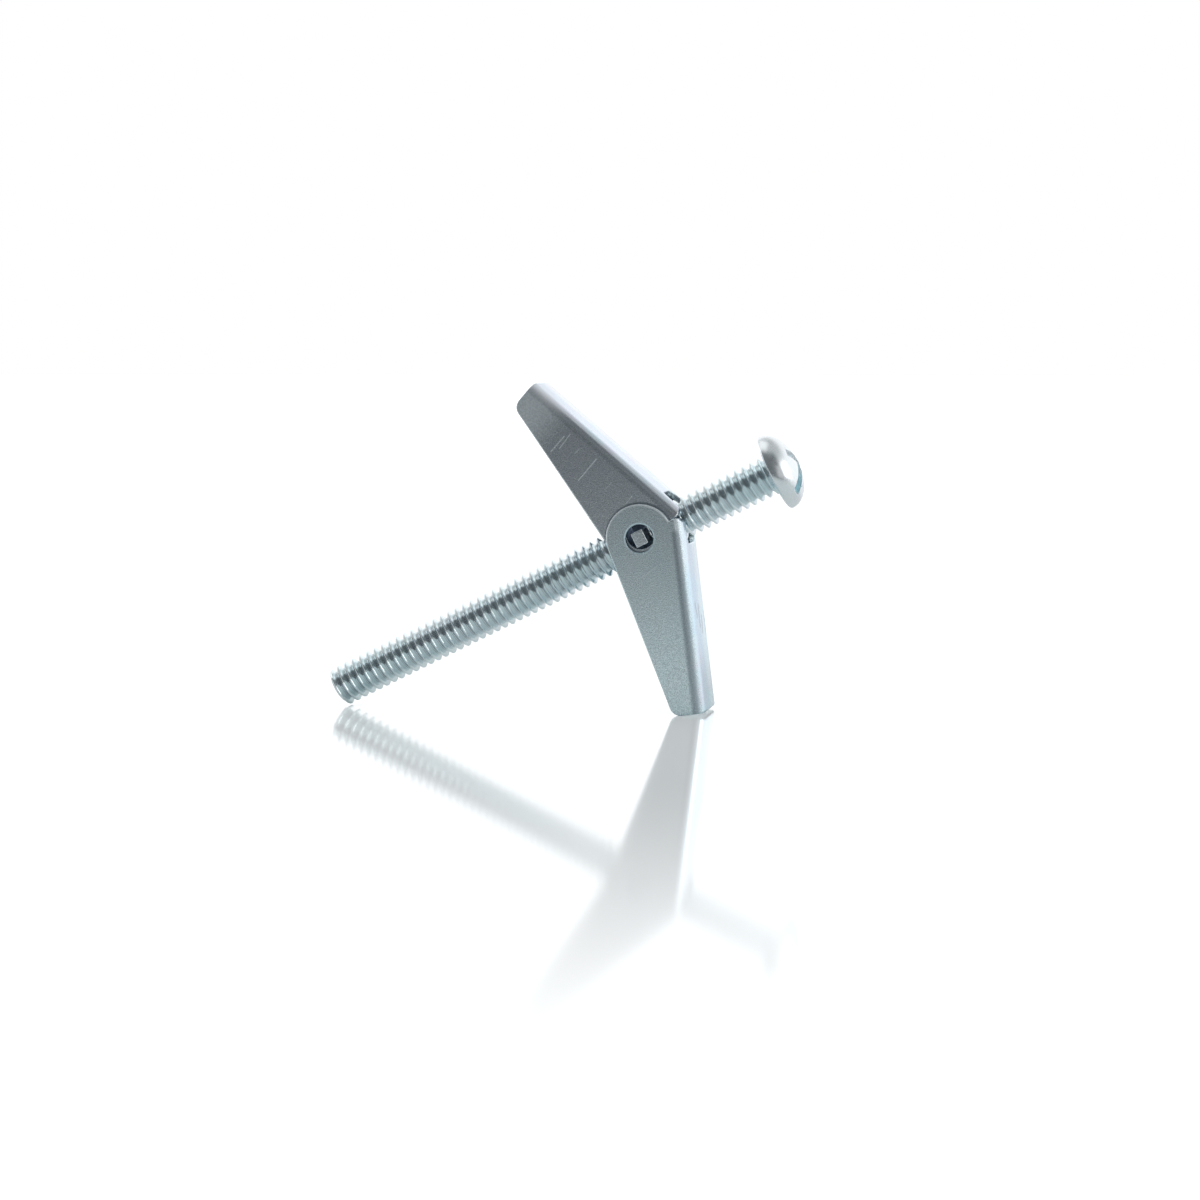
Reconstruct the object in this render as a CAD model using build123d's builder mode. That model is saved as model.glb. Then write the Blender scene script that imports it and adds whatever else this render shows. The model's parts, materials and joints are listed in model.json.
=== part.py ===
from build123d import *
import os
from math import asin, atan2, cos, degrees, hypot, radians, sin, sqrt

# Spring toggle bolt: a machine screw, a trunnion nut, two channel wings and a torsion spring.
# It lies as it comes to rest, on the screw's tip and on the end of its lower wing.
# Millimetres and degrees. +X runs towards the head, +Y along the wings' pivot, +Z up from the floor.

# Machine screw
thread_d = 6.1
screw_length = 73.7
tip_chamfer = 0.4
head_d = 11.6
head_rim = 0.4
head_dome = 3.6
head_edge_chamfer = 0.25
slot_width = 1.5
slot_depth = 1.9
slot_turn = 38
recess_span = 6.6
recess_arm_width = 1.4
recess_depth = 2.9
recess_taper = 9

# Trunnion nut: a stamped strip with a drawn collar and two tabs
pivot_below_head = 21.1
strip_thickness = 1.85
strip_width = 8.8
strip_corner = 0.8
tab_width = 2.25
tab_stand_out = 0.15
tab_edge_chamfer = 0.2
collar_wall = 0.6
collar_length = 2.6
thread_clearance = 0.05

# Wings: two identical channels folded from sheet
wing_length = 26.5
ear_radius = 5.0
web_offset = 6.6
sheet = 0.85
bend_radius = 1.8
wing_taper = 14.9
tip_corner = 1.6
spine_tip_corner = 0.45
shoulder_corner = 1.1
pivot_hole_d = 4.1
notch_clearance = 0.6
notch_corner = 1.4
flange_gap = 0.15
stop_gap = 0.05
hole_clearance = 0.05

# Torsion spring, wound once round the far tab
wire_d = 0.5
wire_spacing = 0.06
coil_clearance = 0.2
leg_reach = 11.0
spring_clearance = 0.04
coil_loops = 1

# Rest pose: each wing's angle from the head, and how far the pair has rocked on the nut
open_angle = 111.4
rock_angle = 1.8

# One overrun serves all cuts
overrun = 1.0

# Radii and reaches that several pieces share
thread_r = thread_d / 2
head_r = head_d / 2
collar_r = thread_r + thread_clearance + collar_wall
pivot_from_tip = screw_length - pivot_below_head
web_inside = web_offset - sheet


def in_side_view(angle):
    """Unit direction in the X-Z plane, measured from +X towards +Z."""
    return Vector(cos(radians(angle)), 0, sin(radians(angle)))


# Lean of the screw at which its tip and the lower wing's rounded corner stand on one floor
lower_open = open_angle - rock_angle
corner_u = wing_length - tip_corner
corner_drop = corner_u * sin(radians(wing_taper)) - (ear_radius - tip_corner)
corner_n = corner_drop / cos(radians(wing_taper))
corner_reach = hypot(corner_u, corner_n)
corner_angle = atan2(corner_n, corner_u) - radians(lower_open)
lean_along = pivot_from_tip - tip_chamfer + corner_reach * cos(corner_angle)
lean_across = thread_r + corner_reach * sin(corner_angle)
lean = degrees(asin(tip_corner / hypot(lean_along, lean_across)) - atan2(lean_across, lean_along))
lower_spine = lean - lower_open
upper_spine = lean + open_angle + rock_angle
along = in_side_view(lean)
across = in_side_view(lean + 90)

# Lift of the upper wing: the spring holds its loose holes up against the tabs' lowest corners
tab_corner = (along * strip_thickness + across * tab_width) / 2
upper_lift = sqrt((pivot_hole_d / 2 - hole_clearance) ** 2 - tab_corner.X**2) - tab_corner.Z

# Stop: the shoulders meet on one plane, half the lift past each wing's own pivot
stop_offset = (stop_gap - upper_lift * cos(radians(lean + rock_angle))) / 2

# Spring: a coil that clears the tab's corners, with legs tangent to it that end under each web
coil_r = hypot(strip_thickness, tab_width) / 2 + coil_clearance + wire_d / 2
lower_rise = web_inside - wire_d / 2 - spring_clearance
upper_rise = lower_rise + upper_lift * in_side_view(upper_spine - 90).Z


def leg_slope(rise):
    """Angle between a wing's spine and the leg that runs from the coil up to its web."""
    return degrees(atan2(rise, leg_reach) - asin(coil_r / hypot(leg_reach, rise)))


def leg_length(rise):
    """Length of that leg, from where it leaves the coil."""
    return sqrt(leg_reach**2 + rise**2 - coil_r**2)


lower_leg_angle = lower_spine + leg_slope(lower_rise)
upper_leg_angle = upper_spine - leg_slope(upper_rise)
coil_turn = 360 * coil_loops + upper_leg_angle - lower_leg_angle - 180
coil_pitch = wire_d + wire_spacing
coil_height = coil_pitch * coil_turn / 360

# Widths, built outwards from the collar: spring, inner flange, outer flange
inner_flange_y = collar_r + coil_height + wire_d + 2 * spring_clearance
outer_flange_y = inner_flange_y + sheet + flange_gap
channel_far_y = inner_flange_y + sheet
channel_near_y = outer_flange_y + sheet
tab_end_y = channel_near_y + tab_stand_out

# The origin is under the middle of the whole object, on the floor
left_end = -(thread_r - tip_chamfer) * along.Z
right_end = (screw_length + head_rim) * along.X + hypot(head_dome * along.X, head_r * along.Z)
tip_height = thread_r * along.X - tip_chamfer * along.Z
tip_point = Vector(-(left_end + right_end) / 2, 0, tip_height)
pivot_point = tip_point + along * pivot_from_tip
upper_pivot_point = pivot_point + Vector(0, 0, upper_lift)

# Machine screw: one turned profile, then the slot and the cross recess
with BuildPart() as screw:
    with BuildSketch(Plane(origin=tip_point, x_dir=along, z_dir=(0, -1, 0))):
        with BuildLine():
            rim_end = screw_length + head_rim
            dome_top = rim_end + head_dome
            Polyline(
                (dome_top, 0),
                (0, 0),
                (0, thread_r - tip_chamfer),
                (tip_chamfer, thread_r),
                (screw_length, thread_r),
                (screw_length, head_r),
                (rim_end, head_r),
            )
            EllipticalCenterArc((rim_end, 0), head_dome, head_r, start_angle=0, arc_size=90)
        make_face()
    revolve(axis=Axis(tip_point, along))
    head_seat = screw.edges().filter_by(GeomType.CIRCLE).sort_by(SortBy.RADIUS)[-2:]
    chamfer(head_seat.sort_by(Axis(tip_point, along))[0], head_edge_chamfer)
    dome_plane = Plane(
        origin=tip_point + along * dome_top,
        x_dir=across * -cos(radians(slot_turn)) + Vector(0, -1, 0) * sin(radians(slot_turn)),
        z_dir=along,
    )
    with BuildSketch(dome_plane.offset(-slot_depth)):
        Rectangle(head_d + overrun, slot_width)
    extrude(amount=slot_depth + overrun, mode=Mode.SUBTRACT)
    with BuildSketch(dome_plane):
        Rectangle(recess_span, recess_arm_width)
        Rectangle(recess_arm_width, recess_span)
    extrude(amount=-recess_depth, taper=recess_taper, mode=Mode.SUBTRACT)
screw.part.label = "machine_screw"

# Trunnion nut: strip outline across the screw, collar drawn towards the tip, bore on the screw's axis
nut_plane = Plane(origin=pivot_point, x_dir=(0, 1, 0), z_dir=along)
with BuildPart() as nut:
    with BuildSketch(nut_plane.offset(-strip_thickness / 2)):
        RectangleRounded(2 * collar_r, strip_width, strip_corner)
        Rectangle(2 * tab_end_y, tab_width)
    extrude(amount=strip_thickness)
    tab_ends = nut.faces().filter_by(Axis.Y).group_by(Axis.Y)
    chamfer((tab_ends[0] + tab_ends[-1]).edges(), tab_edge_chamfer)
    with BuildSketch(nut_plane.offset(-strip_thickness / 2)):
        Circle(collar_r)
    extrude(amount=-collar_length)
    with Locations(nut_plane):
        Cylinder(
            thread_r + thread_clearance,
            2 * (strip_thickness + collar_length + overrun),
            mode=Mode.SUBTRACT,
        )
nut.part.label = "trunnion_nut"


def make_wing(wing_plane):
    """A channel wing; its plane has x along the spine to the tip and y out through the web."""
    open_sin = sin(radians(open_angle))
    open_cos = cos(radians(open_angle))
    taper_sin = sin(radians(wing_taper))
    taper_cos = cos(radians(wing_taper))
    stop_u = (stop_offset + web_offset * open_cos) / open_sin
    stop_reach = sqrt(ear_radius**2 - stop_offset**2)
    stop_point = (
        stop_reach * open_cos + stop_offset * open_sin,
        stop_reach * open_sin - stop_offset * open_cos,
    )
    ear_end = (ear_radius * taper_sin, -ear_radius * taper_cos)
    open_tip = (wing_length, (wing_length * taper_sin - ear_radius) / taper_cos)
    notch_half = thread_r + notch_clearance
    notch_end = (notch_half + web_inside * open_cos) / open_sin
    notch_length = notch_end - stop_u + overrun
    section_start = stop_u - ear_radius
    section_foot = -ear_radius - overrun
    section_plane = Plane(
        origin=wing_plane.from_local_coords((section_start, 0, 0)),
        x_dir=-wing_plane.z_dir,
        z_dir=wing_plane.x_dir,
    )
    notch_plane = Plane(
        origin=wing_plane.from_local_coords((notch_end, web_offset + overrun, 0)),
        x_dir=wing_plane.x_dir,
        z_dir=wing_plane.y_dir,
    )
    with BuildPart() as wing:
        # Folded section: two flanges and a web of one thickness, run along the spine
        with BuildSketch(section_plane):
            with BuildLine():
                outer_fold = FilletPolyline(
                    (-channel_near_y, section_foot),
                    (-channel_near_y, web_offset),
                    (channel_far_y, web_offset),
                    (channel_far_y, section_foot),
                    radius=bend_radius,
                )
                inner_fold = FilletPolyline(
                    (-outer_flange_y, section_foot),
                    (-outer_flange_y, web_inside),
                    (inner_flange_y, web_inside),
                    (inner_flange_y, section_foot),
                    radius=bend_radius - sheet,
                )
                Line(outer_fold @ 0, inner_fold @ 0)
                Line(outer_fold @ 1, inner_fold @ 1)
            make_face()
        extrude(amount=wing_length - section_start)
        # Side outline: tapered open edge, rounded tip, web, stop shoulder and round ear
        with BuildSketch(wing_plane.offset(-channel_far_y - overrun)):
            with BuildLine():
                FilletPolyline(
                    ear_end,
                    open_tip,
                    (wing_length, web_offset),
                    (stop_u, web_offset),
                    stop_point,
                    radius=(tip_corner, spine_tip_corner, shoulder_corner),
                )
                ThreePointArc(stop_point, (-ear_radius, 0), ear_end)
            make_face()
        extrude(amount=channel_far_y + channel_near_y + 2 * overrun, mode=Mode.INTERSECT)
        # Pivot holes through both ears, and the notch that lets the web swing past the screw
        with Locations(wing_plane):
            Hole(pivot_hole_d / 2)
        with BuildSketch(notch_plane) as notch:
            with Locations((-notch_length / 2, 0)):
                Rectangle(notch_length, 2 * notch_half)
            fillet(notch.vertices().group_by(Axis.X)[-1], notch_corner)
        extrude(amount=-(sheet + 2 * overrun), mode=Mode.SUBTRACT)
    return wing.part


# Wings: one shape twice, the upper turned half round the screw so that the ears nest
lower_wing = make_wing(
    Plane(origin=pivot_point, x_dir=in_side_view(lower_spine), z_dir=(0, -1, 0))
)
upper_wing = make_wing(
    Plane(origin=upper_pivot_point, x_dir=in_side_view(upper_spine), z_dir=(0, 1, 0))
)
lower_wing.label = "lower_wing"
upper_wing.label = "upper_wing"

# Torsion spring: a left-hand coil beside the nut, and a straight leg under each web
coil_plane = Plane(
    origin=pivot_point + Vector(0, collar_r + spring_clearance + wire_d / 2, 0),
    x_dir=in_side_view(lower_leg_angle + 90),
    z_dir=(0, 1, 0),
)
coil_path = coil_plane.location * Helix(coil_pitch, coil_height, coil_r, lefthand=True)
lower_leg_end = coil_path @ 0 + in_side_view(lower_leg_angle) * leg_length(lower_rise)
upper_leg_end = coil_path @ 1 + in_side_view(upper_leg_angle) * leg_length(upper_rise)
with BuildPart() as spring:
    with BuildLine() as wire_path:
        Line(lower_leg_end, coil_path @ 0)
        add(coil_path)
        Line(coil_path @ 1, upper_leg_end)
    with BuildSketch(Plane(origin=lower_leg_end, z_dir=coil_path @ 0 - lower_leg_end)):
        Circle(wire_d / 2)
    sweep(path=wire_path.line)
spring.part.label = "torsion_spring"

os.makedirs("parts", exist_ok=True)
export_step(screw.part, "parts/machine_screw.step")
export_step(nut.part, "parts/trunnion_nut.step")
export_step(lower_wing, "parts/lower_wing.step")
export_step(upper_wing, "parts/upper_wing.step")
export_step(spring.part, "parts/torsion_spring.step")
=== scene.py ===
# %% [markdown]
# # A spring toggle bolt on a white table
# The bolt is five pieces of zinc-plated steel: a machine screw, a trunnion nut, two folded
# wings and a torsion spring. It lies on the screw's tip and on the end of its lower wing.
# The imported model gives every piece its place, so the first cell loads it as a fixed frame.
# The joints in its record say where the pivot is and which way the screw points, and everything
# below is measured from those.

# %% Load the frame
import json
from collections import namedtuple
from math import asin, atan2, ceil, cos, degrees, hypot, pi, radians, sin, sqrt, tan

import bmesh
import bpy
from mathutils import Matrix, Vector


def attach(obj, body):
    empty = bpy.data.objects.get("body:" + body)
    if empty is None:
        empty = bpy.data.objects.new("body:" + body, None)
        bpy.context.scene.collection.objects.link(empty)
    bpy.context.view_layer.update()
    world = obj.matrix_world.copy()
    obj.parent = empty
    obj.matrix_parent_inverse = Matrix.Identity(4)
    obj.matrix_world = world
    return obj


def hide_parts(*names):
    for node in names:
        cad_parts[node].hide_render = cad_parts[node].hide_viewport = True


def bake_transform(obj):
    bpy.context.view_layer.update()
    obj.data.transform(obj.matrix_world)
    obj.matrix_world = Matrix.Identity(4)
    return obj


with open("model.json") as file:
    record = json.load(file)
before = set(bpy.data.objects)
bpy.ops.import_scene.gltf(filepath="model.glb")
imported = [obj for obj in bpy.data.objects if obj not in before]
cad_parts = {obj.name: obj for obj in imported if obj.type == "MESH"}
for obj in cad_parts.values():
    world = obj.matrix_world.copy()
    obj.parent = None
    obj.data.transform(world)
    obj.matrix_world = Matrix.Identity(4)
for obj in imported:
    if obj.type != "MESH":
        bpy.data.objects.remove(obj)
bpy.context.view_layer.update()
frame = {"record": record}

MM = 0.001
joints = {joint["name"]: joint for joint in frame["record"]["behaviour"]["joints"]}
PIVOT_AXIS = Vector((0, 1, 0))
ALONG = Vector(joints["nut_travel"]["axis"]).normalized()
ACROSS = ALONG.cross(PIVOT_AXIS)
PIVOT = Vector(joints["lower_wing_pivot"]["pos_m"]) / MM
UPPER_PIVOT = Vector(joints["upper_wing_pivot"]["pos_m"]) / MM
LEAN = atan2(ALONG.z, ALONG.x)

# %% [markdown]
# ## The camera
# The photograph was taken from a little above the table, with the lens turned a few degrees
# towards the head. A long lens gives the small perspective that the two wings show. The
# numbers below come from fitting the screw's axis, the pivot hole and the wings' corners to
# the picture, so they are kept together and nothing else in the file moves the camera.

# %% Camera at the photograph's viewing angle
PIVOT_FROM_TIP = 52.6
SENSOR = 36.0
LENS = 95.34
CAMERA_TURN = radians(10.1)
CAMERA_RISE = radians(4.5)
CAMERA_DISTANCE = 472.8
AIM_FROM_TIP = 40.08
AIM_HEIGHT = 16.33

tip = PIVOT - ALONG * PIVOT_FROM_TIP
aim = Vector((tip.x + AIM_FROM_TIP, 0, AIM_HEIGHT))
towards_camera = Vector(
    (sin(CAMERA_TURN) * cos(CAMERA_RISE), -cos(CAMERA_TURN) * cos(CAMERA_RISE), sin(CAMERA_RISE))
)
camera_data = bpy.data.cameras.new("photo_camera")
camera_data.sensor_width = SENSOR
camera_data.lens = LENS
camera_data.clip_start = MM
camera = bpy.data.objects.new("photo_camera", camera_data)
camera.location = (aim + towards_camera * CAMERA_DISTANCE) * MM
camera.rotation_euler = (-towards_camera).to_track_quat("-Z", "Y").to_euler()
bpy.context.scene.collection.objects.link(camera)
bpy.context.scene.camera = camera
print("camera at", [round(c, 4) for c in camera.location])

# %% [markdown]
# ## Short calls for node trees
# Materials and Geometry Nodes trees are both graphs of nodes. A few helpers keep them
# readable: one adds a node and fills or links its inputs, and the others each stand for one
# step of arithmetic. A shared effect becomes a shader node group, made once with named inputs
# and outputs.

# %% Node helpers
def add_node(tree, kind, inputs=None, **settings):
    """A new node: its settings are set, then each input is linked to a socket or given a value."""
    node = tree.nodes.new(kind)
    for name, value in settings.items():
        setattr(node, name, value)
    for key, value in (inputs or {}).items():
        if isinstance(value, bpy.types.NodeSocket):
            tree.links.new(value, node.inputs[key])
        else:
            node.inputs[key].default_value = value
    return node


def calc(tree, operation, *values):
    """One Math node; returns its result."""
    return add_node(tree, "ShaderNodeMath", dict(enumerate(values)), operation=operation).outputs[0]


def vector_calc(tree, operation, *values, out="Vector"):
    """One Vector Math node; returns the named result."""
    node = add_node(tree, "ShaderNodeVectorMath", dict(enumerate(values)), operation=operation)
    return node.outputs[out]


def dot(tree, first, second):
    """The dot product of two vectors."""
    return vector_calc(tree, "DOT_PRODUCT", first, second, out="Value")


def length(tree, vector):
    """The length of a vector."""
    return vector_calc(tree, "LENGTH", vector, out="Value")


def scaled(tree, vector, amount):
    """A vector times a number."""
    node = add_node(tree, "ShaderNodeVectorMath", {0: vector, "Scale": amount}, operation="SCALE")
    return node.outputs["Vector"]


def remap(tree, value, low, high, to_low=0.0, to_high=1.0):
    """A smooth step from one range to another."""
    inputs = {"Value": value, "From Min": low, "From Max": high, "To Min": to_low, "To Max": to_high}
    return add_node(tree, "ShaderNodeMapRange", inputs, interpolation_type="SMOOTHSTEP").outputs[0]


def noise(tree, place, scale, detail, swirl=0.0):
    """Soft noise over a place; a larger scale is finer."""
    inputs = {"Vector": place, "Scale": scale, "Detail": detail, "Distortion": swirl}
    return add_node(tree, "ShaderNodeTexNoise", inputs).outputs["Fac"]


def mix_colour(tree, amount, first, second, blend="MIX"):
    """Two colours mixed by an amount."""
    node = add_node(tree, "ShaderNodeMix", data_type="RGBA", blend_type=blend)
    for key, value in (("Factor_Float", amount), ("A_Color", first), ("B_Color", second)):
        socket = next(s for s in node.inputs if s.identifier == key)
        if isinstance(value, bpy.types.NodeSocket):
            tree.links.new(value, socket)
        else:
            socket.default_value = value
    return next(s for s in node.outputs if s.identifier == "Result_Color")


def shader_group(name, inputs, outputs):
    """An empty shader node group with named sockets; returns it with the sockets of its two ends."""
    tree = bpy.data.node_groups.new(name, "ShaderNodeTree")
    for label, kind in inputs:
        tree.interface.new_socket(label, in_out="INPUT", socket_type="NodeSocket" + kind)
    for label, kind in outputs:
        tree.interface.new_socket(label, in_out="OUTPUT", socket_type="NodeSocket" + kind)
    return tree, tree.nodes.new("NodeGroupInput").outputs, tree.nodes.new("NodeGroupOutput").inputs


def rgb(red, green, blue):
    """A colour with full alpha."""
    return (red, green, blue, 1.0)


# %% [markdown]
# ## Zinc plate, shared by all pieces
# Bright zinc is a thin, slightly pebbled coat with a clear passivate over it. It is a metal
# with a cool grey colour, its gloss is broken by grain a few tenths of a millimetre wide, and
# the clear coat shows faint pools of blue and pink. Handling leaves hairline scratches in it.
# Grain, tint and scratch are three groups that the materials place with their own values. All
# of them read Object coordinates, turned into millimetres, so a size in a material is a size
# on the part.

# %% Shared groups: pebble grain, passivate tint and scratch
GRAIN_DETAIL = 2.0
FINE_GRAIN_SCALE = 2.7
FINE_GRAIN_DETAIL = 1.0
SPECK_RANGE = (0.40, 0.60)
TINT_PER_MM = 0.13
TINT_DETAIL = 1.5
TINT_SWIRL = 0.8
TINT_BANDS = (
    (0.36, rgb(0.78, 0.93, 1.0)),
    (0.47, rgb(1.0, 1.0, 1.0)),
    (0.55, rgb(1.0, 0.86, 0.95)),
    (0.66, rgb(0.86, 0.99, 1.0)),
)
MARK_CORE = 0.25

grain_group, given, result = shader_group(
    "pebble_grain",
    [("Place", "Vector"), ("Per mm", "Float"), ("Fine share", "Float")],
    [("Height", "Float"), ("Speck", "Float")],
)
pebbles = noise(grain_group, given["Place"], given["Per mm"], GRAIN_DETAIL)
fine_per_mm = calc(grain_group, "MULTIPLY", given["Per mm"], FINE_GRAIN_SCALE)
fine = noise(grain_group, given["Place"], fine_per_mm, FINE_GRAIN_DETAIL)
fine_part = calc(grain_group, "MULTIPLY", fine, given["Fine share"])
grain_group.links.new(calc(grain_group, "ADD", pebbles, fine_part), result["Height"])
grain_group.links.new(remap(grain_group, pebbles, *SPECK_RANGE), result["Speck"])

tint_group, given, result = shader_group(
    "passivate_tint",
    [("Place", "Vector"), ("Colour", "Color"), ("Amount", "Float")],
    [("Colour", "Color")],
)
pools = noise(tint_group, given["Place"], TINT_PER_MM, TINT_DETAIL, TINT_SWIRL)
bands = add_node(tint_group, "ShaderNodeValToRGB", {"Fac": pools})
for position, colour in TINT_BANDS:
    bands.color_ramp.elements.new(position).color = colour
bands.color_ramp.elements.remove(bands.color_ramp.elements[0])
bands.color_ramp.elements.remove(bands.color_ramp.elements[-1])
tint_group.links.new(
    mix_colour(tint_group, given["Amount"], given["Colour"], bands.outputs["Color"], "MULTIPLY"),
    result["Colour"],
)

scratch_group, given, result = shader_group(
    "scratch_line",
    [("Place", "Vector"), ("From", "Vector"), ("To", "Vector"), ("Width", "Float")],
    [("Mask", "Float")],
)
offset = vector_calc(scratch_group, "SUBTRACT", given["Place"], given["From"])
span = vector_calc(scratch_group, "SUBTRACT", given["To"], given["From"])
share = calc(scratch_group, "DIVIDE", dot(scratch_group, offset, span), dot(scratch_group, span, span))
share = add_node(scratch_group, "ShaderNodeClamp", {"Value": share}).outputs[0]
foot = scaled(scratch_group, span, share)
reach = vector_calc(scratch_group, "DISTANCE", offset, foot, out="Value")
core = calc(scratch_group, "MULTIPLY", given["Width"], MARK_CORE)
scratch_group.links.new(remap(scratch_group, reach, core, given["Width"], 1.0, 0.0), result["Mask"])
print("groups:", grain_group.name, tint_group.name, scratch_group.name)

# %% [markdown]
# ## The zinc materials
# One function lays the shared groups into a material, and the arguments say what differs:
# the rolled screw is brighter and smoother, the wings carry more grain. A piece also has marks
# of its own, such as painted shade in a hole, a painted highlight on a rim, a rubbed patch or a
# scratch. Each mark is a mask with a colour and a roughness, and the function lays them over the
# plain coat one after the other.
# The Principled shader stays here in the material, and values that are the same all over are
# set on its own sockets.

# %% Zinc materials
FINE_SHARE = 0.35
GRAIN_HEIGHT = 0.05
POCKET_EDGE = 0.06
SIDE_PLANE = (1, 0, 1)
FLANGE = "flange"
SPECK = rgb(0.10, 0.13, 0.16)
# Bare zinc for scratches and a rubbed patch, and also a painted highlight on the near ear's rim.
BARE_AND_HIGHLIGHT = rgb(0.90, 0.94, 0.96)
# A dark colour for painted shade and a painted shadow, and also for the rub marks on the lower web.
PAINTED_SHADE_AND_RUB = rgb(0.10, 0.13, 0.17)
# A dark colour for painted shade inside the pivot holes and on the nut between the ears.
PAINTED_POCKET_SHADE = rgb(0.05, 0.08, 0.14)

Mark = namedtuple("Mark", "mask colour rough strength")


def place_mm(tree):
    """Object coordinates in millimetres."""
    return scaled(tree, add_node(tree, "ShaderNodeTexCoord").outputs["Object"], 1 / MM)


def line_mask(start, end, width):
    """A straight mark between two points."""

    def make(tree, place):
        inputs = {"Place": place, "From": start, "To": end, "Width": width}
        return add_node(tree, "ShaderNodeGroup", inputs, node_tree=scratch_group).outputs["Mask"]

    return make


def pocket_mask(centre, radius, depth):
    """Everything nearer to the pivot axis than a radius, and no further out along it than a depth."""

    def make(tree, place):
        offset = vector_calc(tree, "SUBTRACT", place, centre)
        reach = length(tree, vector_calc(tree, "MULTIPLY", offset, SIDE_PLANE))
        out = calc(tree, "ABSOLUTE", dot(tree, offset, PIVOT_AXIS))
        inside = remap(tree, reach, radius, radius + POCKET_EDGE, 1.0, 0.0)
        return calc(tree, "MULTIPLY", inside, remap(tree, out, depth, depth + POCKET_EDGE, 1.0, 0.0))

    return make


def zinc(name, colour, per_mm, bump, rough, tint, web_tint=None, speck=0.0, marks=()):
    """A zinc-plated material with its marks; rough is its lowest and highest roughness.

    With a web_tint, specks stay on the flanges and the tint changes from the flanges to the web.
    """
    material = bpy.data.materials.new(name)
    material.use_nodes = True
    tree = material.node_tree
    shader = tree.nodes["Principled BSDF"]
    shader.inputs["Metallic"].default_value = 1.0
    place = place_mm(tree)
    inputs = {"Place": place, "Per mm": per_mm, "Fine share": FINE_SHARE}
    grain = add_node(tree, "ShaderNodeGroup", inputs, node_tree=grain_group).outputs
    dark = calc(tree, "MULTIPLY", calc(tree, "SUBTRACT", 1.0, grain["Speck"]), speck)
    if web_tint is not None:
        flange = add_node(tree, "ShaderNodeAttribute", attribute_name=FLANGE).outputs["Fac"]
        dark = calc(tree, "MULTIPLY", dark, flange)
        tint = remap(tree, flange, 0.0, 1.0, web_tint, tint)
    inputs = {"Place": place, "Colour": colour, "Amount": tint}
    tinted = add_node(tree, "ShaderNodeGroup", inputs, node_tree=tint_group).outputs["Colour"]
    surface = mix_colour(tree, dark, tinted, SPECK)
    shine = remap(tree, grain["Speck"], 0.0, 1.0, rough[1], rough[0])
    for mark in marks:
        amount = calc(tree, "MULTIPLY", mark.mask(tree, place), mark.strength)
        surface = mix_colour(tree, amount, surface, mark.colour)
        shine = add_node(tree, "ShaderNodeMix", {0: amount, 2: shine, 3: mark.rough}).outputs[0]
    inputs = {"Height": grain["Height"], "Strength": bump, "Distance": GRAIN_HEIGHT * MM}
    relief = add_node(tree, "ShaderNodeBump", inputs)
    tree.links.new(surface, shader.inputs["Base Color"])
    tree.links.new(shine, shader.inputs["Roughness"])
    tree.links.new(relief.outputs["Normal"], shader.inputs["Normal"])
    return material


spring_steel = zinc(
    "spring_steel", rgb(0.58, 0.61, 0.63), per_mm=3.0, bump=0.05, rough=(0.22, 0.30), tint=0.10
)
print("material:", spring_steel.name)

# %% [markdown]
# ## Drawing in millimetres
# Sheet metal and turned parts are drawn here as on a maker's drawing: a flat outline with
# rounded corners, raised into a prism, then cut by other prisms. Boolean modifiers do the
# cutting, a narrow bevel breaks the edges so that they catch the light, and weighted normals
# keep the flats flat. A piece is brought from millimetres to metres when it is finished.

# %% Outline, prism and cutting helpers
EDGE_ANGLE = radians(35)


def frame_matrix(origin, x_axis, y_axis, z_axis):
    """A placement from an origin and three axes."""
    matrix = Matrix.Identity(4)
    for column, axis in enumerate((x_axis, y_axis, z_axis, origin)):
        for row in range(3):
            matrix[row][column] = axis[row]
    return matrix


def arc(centre_x, centre_y, radius, start, end, steps):
    """Points along a circle, both ends included."""
    turns = [start + (end - start) * step / steps for step in range(steps + 1)]
    return [(centre_x + radius * cos(t), centre_y + radius * sin(t)) for t in turns]


def circle(radius, sides):
    """A closed round outline."""
    return arc(0, 0, radius, 0, 2 * pi, sides)[:-1]


def rounded(corners, steps=6):
    """A closed outline from (x, y, radius) corners, each rounded by its own radius."""
    points = []
    for index, (x, y, radius) in enumerate(corners):
        here = Vector((x, y))
        before = (Vector(corners[index - 1][:2]) - here).normalized()
        after = (Vector(corners[(index + 1) % len(corners)][:2]) - here).normalized()
        half = before.angle(after) / 2
        if radius == 0:
            points.append((x, y))
            continue
        centre = here + (before + after).normalized() * (radius / sin(half))
        first = here + before * (radius / tan(half)) - centre
        last = here + after * (radius / tan(half)) - centre
        start = atan2(first.y, first.x)
        sweep = (atan2(last.y, last.x) - start + pi) % (2 * pi) - pi
        points += arc(centre.x, centre.y, radius, start, start + sweep, steps)
    return points


def solid_from(name, bm, place):
    """A linked object from a bmesh, put in its place."""
    bm.transform(place)
    mesh = bpy.data.meshes.new(name)
    bm.to_mesh(mesh)
    bm.free()
    piece = bpy.data.objects.new(name, mesh)
    bpy.context.scene.collection.objects.link(piece)
    return piece


def prism(name, outline, low, high, place, inset=0.0):
    """A closed solid over an outline; inset draws its low end in towards the middle of each side."""

    def drawn_in(value):
        return value - inset * ((value > 0) - (value < 0))

    area = sum(a[0] * b[1] - b[0] * a[1] for a, b in zip(outline, outline[1:] + outline[:1]))
    flat = outline if area > 0 else outline[::-1]
    bm = bmesh.new()
    foot = [bm.verts.new((drawn_in(x), drawn_in(y), low)) for x, y in flat]
    top = [bm.verts.new((x, y, high)) for x, y in flat]
    bm.faces.new(foot[::-1])
    bm.faces.new(top)
    for i in range(len(flat)):
        j = (i + 1) % len(flat)
        bm.faces.new((foot[i], foot[j], top[j], top[i]))
    return solid_from(name, bm, place)


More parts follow.
